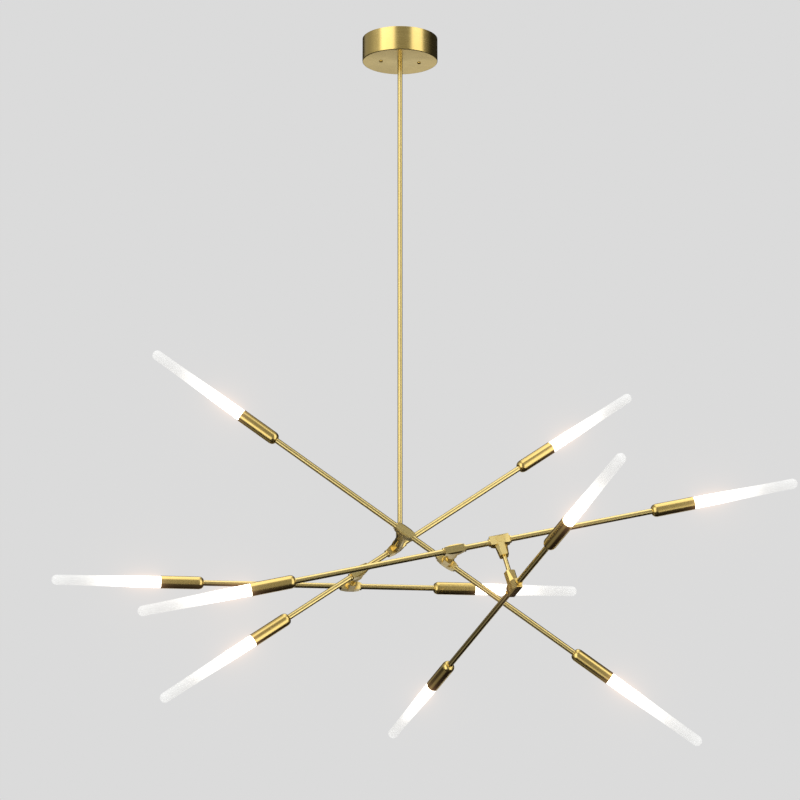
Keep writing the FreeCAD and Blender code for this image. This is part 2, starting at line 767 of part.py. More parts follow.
def make_glass_tube(arm, end):
    """Closed frosted tube, slightly tapered, with a round tip; it stands in the cup's seat."""
    name = "glass_tube_%s_%s" % (arm, end)
    run = "Dims.glass_seat + Dims.glass_reach - Dims.glass_tip_radius"
    blanks = []
    for layer, wall in (("outer", "0"), ("inner", "Dims.glass_wall")):
        cone = primitive("Cone", "%s_%s_cone" % (name, layer), None,
                         Radius1="Dims.glass_radius - " + wall,
                         Radius2="Dims.glass_tip_radius - " + wall, Height=run)
        tip = primitive("Sphere", "%s_%s_tip" % (name, layer), at(up=size(run)),
                        Radius="Dims.glass_tip_radius - " + wall)
        blanks.append(fuse("%s_%s" % (name, layer), [cone, tip]))
    item = cut(name, blanks[0], [blanks[1]])
    item.Placement = cup_place(arm, end).multiply(at(up=size("Dims.cup_length - Dims.glass_seat")))
    return item


def pin_pair(name, radius, low, length):
    """Two cylinders at the lamp's pin spacing."""
    pins = []
    for side in SIDES:
        spot = at(side * dim("pin_half_pitch"), 0, low)
        pins.append(primitive("Cylinder", "%s_%d" % (name, side > 0), spot,
                              Radius=radius, Height=length))
    return pins


def make_lampholder(arm, end):
    """Ceramic holder on the cup floor with two pin holes and a wire hole."""
    name = "lampholder_%s_%s" % (arm, end)
    block = primitive("Cylinder", name + "_block", None, Radius="Dims.holder_radius",
                      Height="Dims.holder_length")
    wires = primitive("Cylinder", name + "_wires", None, Radius="Dims.holder_wire_radius",
                      Height="Dims.holder_length")
    pins = pin_pair(name + "_pin_hole", "Dims.pin_hole_radius",
                    dim("holder_length") - dim("pin_length"), "2 * Dims.pin_length")
    item = cut(name, block, [wires] + pins)
    item.Placement = cup_place(arm, end).multiply(at(up=dim("cup_floor")))
    return item


def make_led_lamp(arm, end):
    """Stick lamp: two pins, a round base and a long light-giving stick with a round end."""
    name = "led_lamp_%s_%s" % (arm, end)
    base = primitive("Cylinder", name + "_base", None, Radius="Dims.lamp_base_radius",
                     Height="Dims.lamp_base_length")
    stick = primitive("Cylinder", name + "_stick", at(up=dim("lamp_base_length")),
                      Radius="Dims.lamp_stick_radius", Height="Dims.lamp_stick_length")
    top = at(up=size("Dims.lamp_base_length + Dims.lamp_stick_length"))
    tip = primitive("Sphere", name + "_tip", top, Radius="Dims.lamp_stick_radius")
    pins = pin_pair(name + "_pin", "Dims.pin_radius", -dim("pin_length"), "Dims.pin_length")
    item = fuse(name, [base, stick, tip] + pins)
    item.Placement = cup_place(arm, end).multiply(at(up=size("Dims.cup_floor + Dims.holder_length")))
    return item


# ---------------------------------------------------------------- the whole fixture
parts = [
    make_canopy_cover(),
    make_ceiling_bracket(),
    make_canopy_screws(),
    make_earth_screw(),
    make_terminal_block(),
    make_stem(),
    make_stem_lock_nut(),
    make_stem_hub(),
    make_link("swivel_link_stem", "a_to_stem", "b_to_stem", near_is_fixed=False),
    make_link("swivel_link_a_to_c", "a_to_c", "c_to_a", near_is_fixed=True),
    make_link("swivel_link_b_to_e", "b_to_e", "e_to_b", near_is_fixed=True),
    make_link("swivel_link_c_to_d", "c_to_d", "d_to_c", near_is_fixed=True),
]
for arm, layout in ARMS.items():
    parts.append(make_arm_tube(arm))
    for fitting in layout["fittings"]:
        fit = "Dims.link_radius"
        if fitting not in CLAMPED_FITTINGS:
            fit += " + Dims.running_clearance"
        parts.append(make_tee_fitting(fitting, fit))
    parts.append(make_arm_set_screws(arm))
    for end in layout["ends"]:
        parts.append(make_lamp_cup(arm, end))
        parts.append(make_glass_tube(arm, end))
    holders = [make_lampholder(arm, end) for end in layout["ends"]]
    parts.append(group("lampholders_arm_" + arm, holders))
    lamps = [make_led_lamp(arm, end) for end in layout["ends"]]
    parts.append(group("led_lamps_arm_" + arm, lamps))

doc.recompute()

# ---------------------------------------------------------------- checks and export
for item in doc.Objects:
    if "Invalid" in item.State or "Error" in item.State:
        raise RuntimeError("%s did not build: %s" % (item.Name, item.State))
for item in parts:
    if item.Shape.isNull() or not item.Shape.isValid():
        raise RuntimeError("%s has no valid shape" % item.Label)

os.makedirs("parts", exist_ok=True)
for item in parts:
    item.Shape.exportStep("parts/%s.step" % item.Label)
    print("%-28s %2d solids %10.1f mm3" % (item.Label, len(item.Shape.Solids), item.Shape.Volume))
print("%d nodes" % len(parts))
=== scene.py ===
"""Looks of the ten-light branching chandelier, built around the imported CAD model.

Every size and place is read from the model's own nodes: an arm's axis from the ends of its tube,
a cup or glass from its reach along that axis, a fitting's neck from where its points lie off the
arm.  Turned pieces are lathed afresh with fine outlines, and the tee fittings are the CAD shapes
with their long edges broken.  Metres, +Z up, origin on the ceiling plane, front towards -Y.
"""
import json
import math

import bmesh
import bpy
from mathutils import Matrix, Vector

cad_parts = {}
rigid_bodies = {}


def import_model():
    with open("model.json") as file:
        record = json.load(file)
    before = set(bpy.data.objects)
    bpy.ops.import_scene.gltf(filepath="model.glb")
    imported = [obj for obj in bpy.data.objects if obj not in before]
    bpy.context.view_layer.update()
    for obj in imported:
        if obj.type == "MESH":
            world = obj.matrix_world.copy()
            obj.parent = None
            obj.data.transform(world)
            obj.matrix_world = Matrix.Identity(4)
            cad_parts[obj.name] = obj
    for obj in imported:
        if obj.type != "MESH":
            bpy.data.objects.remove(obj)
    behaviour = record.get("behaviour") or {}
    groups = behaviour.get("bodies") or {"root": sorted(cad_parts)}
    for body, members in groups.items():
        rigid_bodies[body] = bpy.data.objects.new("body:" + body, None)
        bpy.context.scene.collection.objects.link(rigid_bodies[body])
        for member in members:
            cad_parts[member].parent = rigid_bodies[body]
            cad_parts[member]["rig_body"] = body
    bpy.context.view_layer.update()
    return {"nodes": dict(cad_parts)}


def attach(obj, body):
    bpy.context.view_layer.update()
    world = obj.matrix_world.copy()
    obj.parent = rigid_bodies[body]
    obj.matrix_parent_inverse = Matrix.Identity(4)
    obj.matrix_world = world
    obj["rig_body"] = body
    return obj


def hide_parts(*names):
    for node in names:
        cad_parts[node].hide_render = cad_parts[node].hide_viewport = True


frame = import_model()

MM = 0.001
UP = Vector((0.0, 0.0, 1.0))
ARMS = "abcde"
SIDES = ("left", "right")


# ---------------------------------------------------------------- reading the frame
SAME_POINT_DIGITS = 7
END_SHARE = 0.02


def points_of(node):
    """Distinct vertices of a CAD node."""
    vertices = frame["nodes"][node].data.vertices
    rounded = {tuple(round(c, SAME_POINT_DIGITS) for c in v.co) for v in vertices}
    return [Vector(p) for p in sorted(rounded)]


def mean(points):
    return sum(points, Vector()) / len(points)


def rough_run(node):
    """Rough axis of a long node, from the point farthest from its middle to the far end."""
    points = points_of(node)
    middle = mean(points)
    start = max(points, key=lambda p: (p - middle).length)
    end = max(points, key=lambda p: (p - start).length)
    return (end - start).normalized()


def end_centres(node):
    """Centres of the two end rings of a straight tube."""
    points = points_of(node)
    run = rough_run(node)
    heights = [p.dot(run) for p in points]
    low, high = min(heights), max(heights)
    slack = END_SHARE * (high - low)
    first = mean([p for p, h in zip(points, heights) if h < low + slack])
    last = mean([p for p, h in zip(points, heights) if h > high - slack])
    return first, last


def frame_at(origin, along):
    """Matrix whose Z runs along a slanting line and whose X leans upwards."""
    across = (UP - along * UP.dot(along)).normalized()
    turned = Matrix((across, along.cross(across), along)).transposed()
    return Matrix.Translation(origin) @ turned.to_4x4()


def heights_of(node, place):
    """Lowest and highest Z of a node in a frame."""
    inverse = place.inverted()
    heights = [(inverse @ p).z for p in points_of(node)]
    return min(heights), max(heights)


def girth_of(points, place):
    """Largest distance of some points from the Z axis of a frame."""
    inverse = place.inverted()
    local = [inverse @ p for p in points]
    return max(math.hypot(p.x, p.y) for p in local)


def girth(node, place, low=-math.inf, high=math.inf):
    """Largest distance of a node's points from the Z axis of a frame, between two heights."""
    inverse = place.inverted()
    return girth_of([p for p in points_of(node) if low <= (inverse @ p).z <= high], place)


def body_of(node):
    return frame["nodes"][node]["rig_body"]


arm_axis = {}
arm_ends = {}
for arm in ARMS:
    arm_ends[arm] = end_centres("arm_tube_" + arm)
    arm_axis[arm] = (arm_ends[arm][1] - arm_ends[arm][0]).normalized()


# ---------------------------------------------------------------- material nodes
NOISE_LOW, NOISE_HIGH = 0.3, 0.7     # the range that a noise mostly covers


def new_material(name):
    material = bpy.data.materials.new(name)
    material.use_nodes = True
    return material, material.node_tree


def add_node(tree, kind, values=None, **settings):
    node = tree.nodes.new("ShaderNode" + kind)
    for key, value in settings.items():
        setattr(node, key, value)
    for socket, value in (values or {}).items():
        node.inputs[socket].default_value = value
    return node


def shader_of(tree):
    return tree.nodes["Principled BSDF"]


def stretched_noise(tree, scale, detail=4.0, roughness=0.6):
    """Noise in the piece's own coordinates, stretched by a scale for each axis, per metre."""
    coordinates = add_node(tree, "TexCoord")
    mapping = add_node(tree, "Mapping", {"Scale": scale})
    noise = add_node(tree, "TexNoise", {"Scale": 1.0, "Detail": detail, "Roughness": roughness})
    tree.links.new(coordinates.outputs["Object"], mapping.inputs["Vector"])
    tree.links.new(mapping.outputs["Vector"], noise.inputs["Vector"])
    return noise.outputs["Fac"]


def spread(tree, source, low, high, from_low=NOISE_LOW, from_high=NOISE_HIGH):
    """A factor mapped to a range of values."""
    node = add_node(tree, "MapRange", {"From Min": from_low, "From Max": from_high,
                                       "To Min": low, "To Max": high})
    tree.links.new(source, node.inputs["Value"])
    return node.outputs["Result"]


def blend_colours(tree, factor, first, second):
    """Mix of two colours, each a tuple or a socket; sockets 6 and 7 and output 2 are colours."""
    node = add_node(tree, "Mix", data_type="RGBA")
    tree.links.new(factor, node.inputs["Factor"])
    for socket, colour in ((6, first), (7, second)):
        if isinstance(colour, tuple):
            node.inputs[socket].default_value = colour + (1.0,)
        else:
            tree.links.new(colour, node.inputs[socket])
    return node.outputs[2]


def bump(tree, height, strength, distance):
    node = add_node(tree, "Bump", {"Strength": strength, "Distance": distance})
    tree.links.new(height, node.inputs["Height"])
    return node.outputs["Normal"]


def height_ramp(tree, reach, stops):
    """Values along the piece's own Z axis, from (share of reach, value) stops."""
    coordinates = add_node(tree, "TexCoord")
    split = add_node(tree, "SeparateXYZ")
    tree.links.new(coordinates.outputs["Object"], split.inputs["Vector"])
    share = spread(tree, split.outputs["Z"], 0.0, 1.0, 0.0, reach)
    curve = add_node(tree, "FloatCurve")
    line = curve.mapping.curves[0]
    top = max(value for _, value in stops)
    while len(line.points) < len(stops):
        line.points.new(0.5, 0.5)
    for point, (along, value) in zip(line.points, stops):
        point.location = (along, value / top)
    curve.mapping.update()
    tree.links.new(share, curve.inputs["Value"])
    scaled = add_node(tree, "Math", {1: top}, operation="MULTIPLY")
    tree.links.new(curve.outputs["Value"], scaled.inputs[0])
    return scaled.outputs["Value"]


# ---------------------------------------------------------------- metals and mouldings
BRASS = (0.82, 0.605, 0.195)
BRASS_DEEP = (0.73, 0.520, 0.150)
BRASS_PALE = (0.90, 0.740, 0.330)
BRUSH_DEPTH = 0.02 * MM
BRUSH_DETAIL, BRUSH_ROUGHNESS = 6.0, 0.75
BRUSH_PALENESS = 0.30
PATCHES = 9.0                        # broad change of tone, per metre
PATCH_STRETCH = 0.01                 # how far the patches follow the brush
PATCH_DETAIL = 3.0
EDGE_FROM, EDGE_FULL = 0.515, 0.56   # pointiness of a rubbed edge
EDGE_PALENESS = 0.5
ROUND_THE_AXIS = 0.25                # turns of the anisotropy, for brushing round a lathed piece

ZINC_DARK = (0.50, 0.52, 0.55)
ZINC_LIGHT = (0.68, 0.69, 0.70)
ZINC_SPANGLE = 420.0                 # crystals per metre
ZINC_ROLLED = (60.0, 2600.0, 2600.0)
ZINC_ROUGHNESS = (0.28, 0.46)
ZINC_BUMP = 0.3

GRAIN_DEPTH = 0.03 * MM
GRAIN_BUMP = 0.4
GRAIN_DETAIL = 5.0
GRAIN_PATCHES = (60.0,) * 3


def brass(name, brush, smooth, rough, depth, anisotropy=0.0):
    """Satin brass with fine brush lines; brush is the line density along each axis, per metre."""
    material, tree = new_material(name)
    shader = shader_of(tree)
    shader.inputs["Metallic"].default_value = 1.0
    shader.inputs["Anisotropic"].default_value = anisotropy
    shader.inputs["Anisotropic Rotation"].default_value = ROUND_THE_AXIS
    lines = stretched_noise(tree, brush, BRUSH_DETAIL, BRUSH_ROUGHNESS)
    broad = stretched_noise(tree, tuple(PATCHES + PATCH_STRETCH * s for s in brush), PATCH_DETAIL)
    edges = add_node(tree, "NewGeometry").outputs["Pointiness"]
    worn = spread(tree, edges, 0.0, EDGE_PALENESS, EDGE_FROM, EDGE_FULL)
    tone = blend_colours(tree, spread(tree, broad, 0.0, 1.0), BRASS_DEEP, BRASS)
    tone = blend_colours(tree, spread(tree, lines, 0.0, BRUSH_PALENESS), tone, BRASS_PALE)
    tone = blend_colours(tree, worn, tone, BRASS_PALE)
    tree.links.new(tone, shader.inputs["Base Color"])
    tree.links.new(spread(tree, lines, smooth, rough), shader.inputs["Roughness"])
    tree.links.new(bump(tree, lines, depth, BRUSH_DEPTH), shader.inputs["Normal"])
    return material


def plated_steel(name):
    """Zinc-plated steel with a faint spangle and rolling lines."""
    material, tree = new_material(name)
    shader = shader_of(tree)
    shader.inputs["Metallic"].default_value = 1.0
    coordinates = add_node(tree, "TexCoord")
    spangle = add_node(tree, "TexVoronoi", {"Scale": ZINC_SPANGLE})
    tree.links.new(coordinates.outputs["Object"], spangle.inputs["Vector"])
    rolled = stretched_noise(tree, ZINC_ROLLED)
    tone = blend_colours(tree, spangle.outputs["Color"], ZINC_DARK, ZINC_LIGHT)
    tree.links.new(tone, shader.inputs["Base Color"])
    tree.links.new(spread(tree, rolled, *ZINC_ROUGHNESS), shader.inputs["Roughness"])
    tree.links.new(bump(tree, rolled, ZINC_BUMP, BRUSH_DEPTH), shader.inputs["Normal"])
    return material


def grained(name, first, second, rough, scale=900.0, metallic=0.0):
    """A moulded, fired or blackened surface: two close tones and a fine grain."""
    material, tree = new_material(name)
    shader = shader_of(tree)
    shader.inputs["Metallic"].default_value = metallic
    fine = stretched_noise(tree, (scale,) * 3, GRAIN_DETAIL)
    broad = stretched_noise(tree, GRAIN_PATCHES)
    tone = blend_colours(tree, spread(tree, broad, 0.0, 1.0), first, second)
    tree.links.new(tone, shader.inputs["Base Color"])
    tree.links.new(spread(tree, fine, *rough), shader.inputs["Roughness"])
    tree.links.new(bump(tree, fine, GRAIN_BUMP, GRAIN_DEPTH), shader.inputs["Normal"])
    return material


TURNED = brass("brass_turned", (9.0, 9.0, 1000.0), smooth=0.18, rough=0.30, depth=0.12,
               anisotropy=0.3)
DRAWN = brass("brass_drawn", (900.0, 900.0, 12.0), smooth=0.22, rough=0.31, depth=0.06)
MILLED = brass("brass_milled", (30.0, 1900.0, 1900.0), smooth=0.22, rough=0.34, depth=0.2)
POLISHED = brass("brass_polished", (900.0, 900.0, 900.0), smooth=0.10, rough=0.18, depth=0.2)
ZINC = plated_steel("zinc_plate")
BLACKED = grained("blackened_steel", (0.030, 0.026, 0.020), (0.060, 0.050, 0.036),
                  rough=(0.30, 0.45), metallic=0.8)
NYLON = grained("terminal_nylon", (0.80, 0.79, 0.73), (0.88, 0.87, 0.82), rough=(0.38, 0.52))
STEATITE = grained("steatite", (0.82, 0.80, 0.74), (0.92, 0.90, 0.86), rough=(0.55, 0.75),
                   scale=1500.0)


# ---------------------------------------------------------------- frosted glass with painted glow, and lamps
GLASS_IOR = 1.45
GLASS_SHEEN = 0.12
GLASS_OPACITY = 0.82
GLASS_BLAST = (700.0,) * 3
GLASS_BLAST_DETAIL = 2.0
GLASS_BLAST_BUMP = 0.05
GLASS_CLOUD = (55.0, 55.0, 22.0)
GLASS_ROUGHNESS = (0.60, 0.75)
GLASS_DIM = (0.42, 0.43, 0.44)
GLASS_CLEAR = (0.48, 0.49, 0.49)
# painted glow: emission on the glass shade standing in for the lamp's light through it, brightest
# and warmest beside the cup
GLASS_PAINTED_GLOW = ((0.0, 4.4), (0.2, 4.0), (0.4, 1.4), (0.6, 0.66), (0.8, 0.47), (1.0, 0.53))
GLASS_PAINTED_GLOW_WARMTH = ((0.0, 1.0), (0.5, 0.3), (1.0, 0.0))
GLOW_COOL = (1.0, 0.985, 0.96)
GLOW_WARM = (1.0, 0.90, 0.76)

LED_MOTTLE = (300.0, 300.0, 120.0)
LED_DEEP = (0.92, 0.88, 0.80)
LED_PALE = (0.98, 0.96, 0.92)
LED_ROUGHNESS = (0.34, 0.48)
LED_COLOUR = (1.0, 0.84, 0.66, 1.0)
LED_GLOW = ((0.0, 2.4), (0.4, 2.4), (0.65, 1.4), (0.85, 0.6), (1.0, 0.4))


def frosted_glass(name, reach):
    """Sand-blasted glass with a painted glow for the lamp inside: bright beside the cup, fading
    towards the tip.
    """
    material, tree = new_material(name)
    shader = shader_of(tree)
    shader.inputs["IOR"].default_value = GLASS_IOR
    shader.inputs["Specular IOR Level"].default_value = GLASS_SHEEN
    shader.inputs["Alpha"].default_value = GLASS_OPACITY
    blast = stretched_noise(tree, GLASS_BLAST, GLASS_BLAST_DETAIL)
    cloud = stretched_noise(tree, GLASS_CLOUD)
    tone = blend_colours(tree, spread(tree, cloud, 0.0, 1.0), GLASS_DIM, GLASS_CLEAR)
    tree.links.new(tone, shader.inputs["Base Color"])
    tree.links.new(spread(tree, blast, *GLASS_ROUGHNESS), shader.inputs["Roughness"])
    tree.links.new(bump(tree, blast, GLASS_BLAST_BUMP, BRUSH_DEPTH), shader.inputs["Normal"])
    # painted glow: emission strength and its warmer tint along the glass, from the cup to the tip
    tree.links.new(height_ramp(tree, reach, GLASS_PAINTED_GLOW), shader.inputs["Emission Strength"])
    tint = blend_colours(tree, height_ramp(tree, reach, GLASS_PAINTED_GLOW_WARMTH), GLOW_COOL, GLOW_WARM)
    tree.links.new(tint, shader.inputs["Emission Color"])
    return material


def lit_diffuser(name, reach):
    """Milky LED stick, brightest over the diodes."""
    material, tree = new_material(name)
    shader = shader_of(tree)
    mottle = stretched_noise(tree, LED_MOTTLE)
    tone = blend_colours(tree, spread(tree, mottle, 0.0, 1.0), LED_DEEP, LED_PALE)
    tree.links.new(tone, shader.inputs["Base Color"])
    tree.links.new(spread(tree, mottle, *LED_ROUGHNESS), shader.inputs["Roughness"])
    shader.inputs["Emission Color"].default_value = LED_COLOUR
    tree.links.new(height_ramp(tree, reach, LED_GLOW), shader.inputs["Emission Strength"])
    return material


# ---------------------------------------------------------------- meshes
ON_AXIS = 1e-7
SMOOTH_BELOW = math.radians(32.0)
FLAT_FACE_WEIGHT = 100

SAME_PLACE = 0.002 * MM
FLAT_WITHIN = math.radians(0.5)
EDGE_SHARP = math.radians(14.0)
EDGE_SHORTEST = 1.2 * MM
EDGE_BREAK = 0.35 * MM
EDGE_SEGMENTS = 2
EDGE_ROUND = 0.5


def arc(centre_r, centre_z, radius, start, end, steps=8):
    """Points of an arc in the outline plane, between two angles in degrees from +r."""
    angles = [math.radians(start + (end - start) * i / steps) for i in range(steps + 1)]
    return [(centre_r + radius * math.cos(a), centre_z + radius * math.sin(a)) for a in angles]


def nose_curve(inner, outer, depth, steps=18):
    """Bullet nose from a hole's edge at height nought out to full girth at depth."""
    angles = [math.pi / 2 * i / steps for i in range(steps + 1)]
    return [(inner + (outer - inner) * math.sin(a), depth * (1.0 - math.cos(a))) for a in angles]


def finish_piece(name, mesh, place, body, material):
    """Object from a mesh, shaded smooth up to an angle, riding on a body."""
    mesh.materials.append(material)
    mesh.polygons.foreach_set("use_smooth", [True] * len(mesh.polygons))
    mesh.set_sharp_from_angle(angle=SMOOTH_BELOW)
    piece = bpy.data.objects.new(name, mesh)
    bpy.context.scene.collection.objects.link(piece)
    even = piece.modifiers.new("even_shading", "WEIGHTED_NORMAL")
    even.keep_sharp = True
    even.weight = FLAT_FACE_WEIGHT
    piece.matrix_world = place
    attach(piece, body)
    return piece


def lathe(name, outline, place, body, material, segments=96, closed=True):
    """Piece turned about its own Z axis from (radius, height) points."""
    mesh = bpy.data.meshes.new(name)
    bm = bmesh.new()
    rings = []
    for radius, height in outline:
        if radius < ON_AXIS:
            rings.append([bm.verts.new((0.0, 0.0, height))])
            continue
        turns = [2 * math.pi * i / segments for i in range(segments)]
        rings.append([bm.verts.new((radius * math.cos(t), radius * math.sin(t), height))
                      for t in turns])
    pairs = list(zip(rings, rings[1:]))
    if closed:
        pairs.append((rings[-1], rings[0]))
    for lower, upper in pairs:
        for i in range(segments):
            j = (i + 1) % segments
            corners = [lower[i % len(lower)], lower[j % len(lower)],
                       upper[j % len(upper)], upper[i % len(upper)]]
            distinct = list(dict.fromkeys(corners))
            if len(distinct) > 2:
                bm.faces.new(distinct)
    bmesh.ops.recalc_face_normals(bm, faces=bm.faces)
    bm.to_mesh(mesh)
    bm.free()
    return finish_piece(name, mesh, place, body, material)


def broken_edges(name, node, place, material):
    """The CAD shape of a node in its own frame, with every long sharp edge broken."""
    bm = bmesh.new()
    bm.from_mesh(frame["nodes"][node].data)
    bm.transform(place.inverted())
    bmesh.ops.remove_doubles(bm, verts=bm.verts, dist=SAME_PLACE)
    bmesh.ops.dissolve_limit(bm, angle_limit=FLAT_WITHIN, verts=bm.verts, edges=bm.edges)
    chosen = [e for e in bm.edges if len(e.link_faces) == 2
              and e.calc_face_angle() > EDGE_SHARP and e.calc_length() > EDGE_SHORTEST]
    bmesh.ops.bevel(bm, geom=chosen, offset=EDGE_BREAK, offset_type="OFFSET",
                    segments=EDGE_SEGMENTS, profile=EDGE_ROUND, affect="EDGES",
                    clamp_overlap=True)
    bmesh.ops.recalc_face_normals(bm, faces=bm.faces)
    mesh = bpy.data.meshes.new(name)
    bm.to_mesh(mesh)
    bm.free()
    return finish_piece(name, mesh, place, body_of(node), material)


def repaint(node, material):
    """Give a CAD node a finished material."""
    slots = frame["nodes"][node].data.materials
    for index in range(len(slots)):
        slots[index] = material


# ---------------------------------------------------------------- arms
TUBE_WALL = 1.0 * MM
TUBE_SEGMENTS = 64

CUP_NOSE = 8.2 * MM
CUP_LIP = 0.45 * MM
CUP_FLOOR = 8.0 * MM
CUP_SHOULDER = 0.65 * MM             # how far the holder's bore is inside the glass's seat
CUP_CHAMFER = 0.2 * MM
TUBE_CLEARANCE = 0.1 * MM
GLASS_CLEARANCE = 0.05 * MM
GLASS_SEAT = 12.0 * MM

GLASS_WALL = 1.2 * MM
GLASS_CHAMFER = 0.3 * MM
GLASS_END_FROM, GLASS_END_TO = 9.0 * MM, 7.0 * MM     # below the tip, where the dome starts
DOME_START = 2
DOME_STEPS = 16

LAMP_SEGMENTS = 48
LAMP_FOOT = 0.4 * MM
LAMP_STEP = 0.6 * MM
LAMP_STEPS = 12


def head_node(kind, arm, side):
    return "%s_%s_%s" % (kind, arm, side)


def head_place(arm, side):
    """Frame of a lamp head: origin at the cup back, Z towards the tip of the glass."""
    centre = mean(points_of(head_node("glass_tube", arm, side)))
    start, end = arm_ends[arm]
    outward = arm_axis[arm] if (centre - start).length > (centre - end).length else -arm_axis[arm]
    base = frame_at(start, outward)
    back, _ = heights_of(head_node("lamp_cup", arm, side), base)
    return base @ Matrix.Translation((0.0, 0.0, back))


def glass_place(arm, side):
    """Frame of a glass tube: origin at the cup's rim, Z towards the tip."""
    place = head_place(arm, side)
    _, rim = heights_of(head_node("lamp_cup", arm, side), place)
    return place @ Matrix.Translation((0.0, 0.0, rim))


def lamp_points(arm, side):
    """Points of one of an arm's two lamps, in the frame of its lamp head."""
    inverse = head_place(arm, side).inverted()
    local = [inverse @ p for p in points_of("led_lamps_arm_" + arm)]
    return [p for p in local if p.z > 0.0]


def lamp_span(arm, side):
    """Lowest and highest point of a lamp, above the cup back."""
    heights = [p.z for p in lamp_points(arm, side)]
    return min(heights), max(heights)


glass_reach = heights_of(head_node("glass_tube", ARMS[0], SIDES[0]),
                         glass_place(ARMS[0], SIDES[0]))[1]
lamp_low, lamp_high = lamp_span(ARMS[0], SIDES[0])
GLASS = frosted_glass("frosted_glass", glass_reach)
DIFFUSER = lit_diffuser("led_diffuser", lamp_high - lamp_low)


def make_arm_rod(arm):
    start, end = arm_ends[arm]
    node = "arm_tube_" + arm
    place = frame_at(start, arm_axis[arm])
    length = (end - start).length
    radius = girth(node, place)
    bore = radius - TUBE_WALL
    outline = [(bore, 0.0), (radius, 0.0), (radius, length), (bore, length)]
    piece = lathe("arm_rod_" + arm, outline, place, body_of(node), DRAWN, TUBE_SEGMENTS)
    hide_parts(node)


def make_cup(arm, side):
    """Turned cup: bullet nose over the tube, rounded rim, and a bore stepped for the glass."""
    node = head_node("lamp_cup", arm, side)
    place = head_place(arm, side)
    _, length = heights_of(node, place)
    radius = girth(node, place)
    tube = girth("arm_tube_" + arm, place)
    mouth = girth(head_node("glass_tube", arm, side), place) + GLASS_CLEARANCE
    bore = mouth - CUP_SHOULDER
    seat = length - GLASS_SEAT
    outline = nose_curve(tube + TUBE_CLEARANCE, radius, CUP_NOSE)
    outline += arc(radius - CUP_LIP, length - CUP_LIP, CUP_LIP, 0, 90, 4)
    outline += [(mouth + CUP_CHAMFER, length), (mouth, length - CUP_CHAMFER), (mouth, seat)]
    outline += [(bore, seat), (bore, CUP_FLOOR), (tube, CUP_FLOOR)]
    piece = lathe(head_node("cup", arm, side), outline, place, body_of(node), TURNED)
    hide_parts(node)


def make_glass(arm, side):
    """Tapered glass tube, open in the cup and domed at the tip."""
    node = head_node("glass_tube", arm, side)
    place = glass_place(arm, side)
    low, tip = heights_of(node, place)
    foot = girth(node, place)
    end = girth(node, place, tip - GLASS_END_FROM, tip - GLASS_END_TO)
    outline = [(foot - GLASS_WALL, low), (foot - GLASS_CHAMFER, low), (foot, low + GLASS_CHAMFER)]
    outline += arc(0.0, tip - end, end, DOME_START, 90, DOME_STEPS)
    outline += arc(0.0, tip - end, end - GLASS_WALL, 90, DOME_START, DOME_STEPS)
    piece = lathe(head_node("glass", arm, side), outline, place, body_of(node), GLASS)
    piece.visible_glossy = False
    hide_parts(node)


def make_lamp(arm, side):
    """LED lamp: a base in the holder and a milky stick in the glass."""
    node = "led_lamps_arm_" + arm
    radii = [(math.hypot(p.x, p.y), p.z) for p in lamp_points(arm, side)]
    low, high = lamp_span(arm, side)
    stick = max(r for r, z in radii if z > (low + high) / 2)
    base = max(r for r, z in radii)
    step = max(z for r, z in radii if r > (stick + base) / 2) - low
    length = high - low
    place = head_place(arm, side) @ Matrix.Translation((0.0, 0.0, low))
    outline = [(0.0, 0.0), (base - LAMP_FOOT, 0.0), (base, LAMP_FOOT), (base, step - LAMP_STEP),
               (base - LAMP_STEP, step), (stick, step)]
    outline += arc(0.0, length - stick, stick, 0, 90, LAMP_STEPS)
    outline[-1] = (0.0, length)
    piece = lathe(head_node("led_lamp", arm, side), outline, place, body_of(node), DIFFUSER,
                  LAMP_SEGMENTS, closed=False)
    piece.visible_glossy = False
    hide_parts(node)


for arm in ARMS:
    make_arm_rod(arm)
    for side in SIDES:
        make_cup(arm, side)
        make_glass(arm, side)
        make_lamp(arm, side)


# ---------------------------------------------------------------- canopy and stem
CANOPY_WALL = 1.5 * MM
CANOPY_EDGE = 1.6 * MM
CANOPY_LIP = 0.35 * MM
CANOPY_SEGMENTS = 160

SCREW_SEGMENTS = 48
SCREW_HEAD_TO = 0.1 * MM             # above the canopy floor, still on the head
SCREW_SHANK_FROM = 0.3 * MM
SCREW_DOME = 0.75                    # share of the head's height that is domed
SCREW_DOME_ANGLES = range(0, 66, 6)
SOCKET_MOUTH = (1.15 * MM, 0.05 * MM)
SOCKET_WALL = (1.0 * MM, 1.2 * MM)
SOCKET_POINT = (0.0, 1.3 * MM)

STEM_CHAMFER = 0.4 * MM


def make_canopy():
    place = Matrix.Identity(4)
    low, high = heights_of("canopy_cover", place)
    radius = girth("canopy_cover", place)
    hole = girth("stem", place) + TUBE_CLEARANCE
    outline = [(hole, low + CANOPY_LIP), (hole + CANOPY_LIP, low)]
    outline += arc(radius - CANOPY_EDGE, low + CANOPY_EDGE, CANOPY_EDGE, -90, 0)
    outline += arc(radius - CANOPY_LIP, high - CANOPY_LIP, CANOPY_LIP, 0, 90, 3)
    outline += [(radius - CANOPY_WALL, high), (radius - CANOPY_WALL, low + 2 * CANOPY_WALL)]
    outline += [(radius - 2 * CANOPY_WALL, low + CANOPY_WALL), (hole, low + CANOPY_WALL)]
    piece = lathe("canopy_shell", outline, place, body_of("canopy_cover"), TURNED,
                  CANOPY_SEGMENTS)
    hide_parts("canopy_cover")


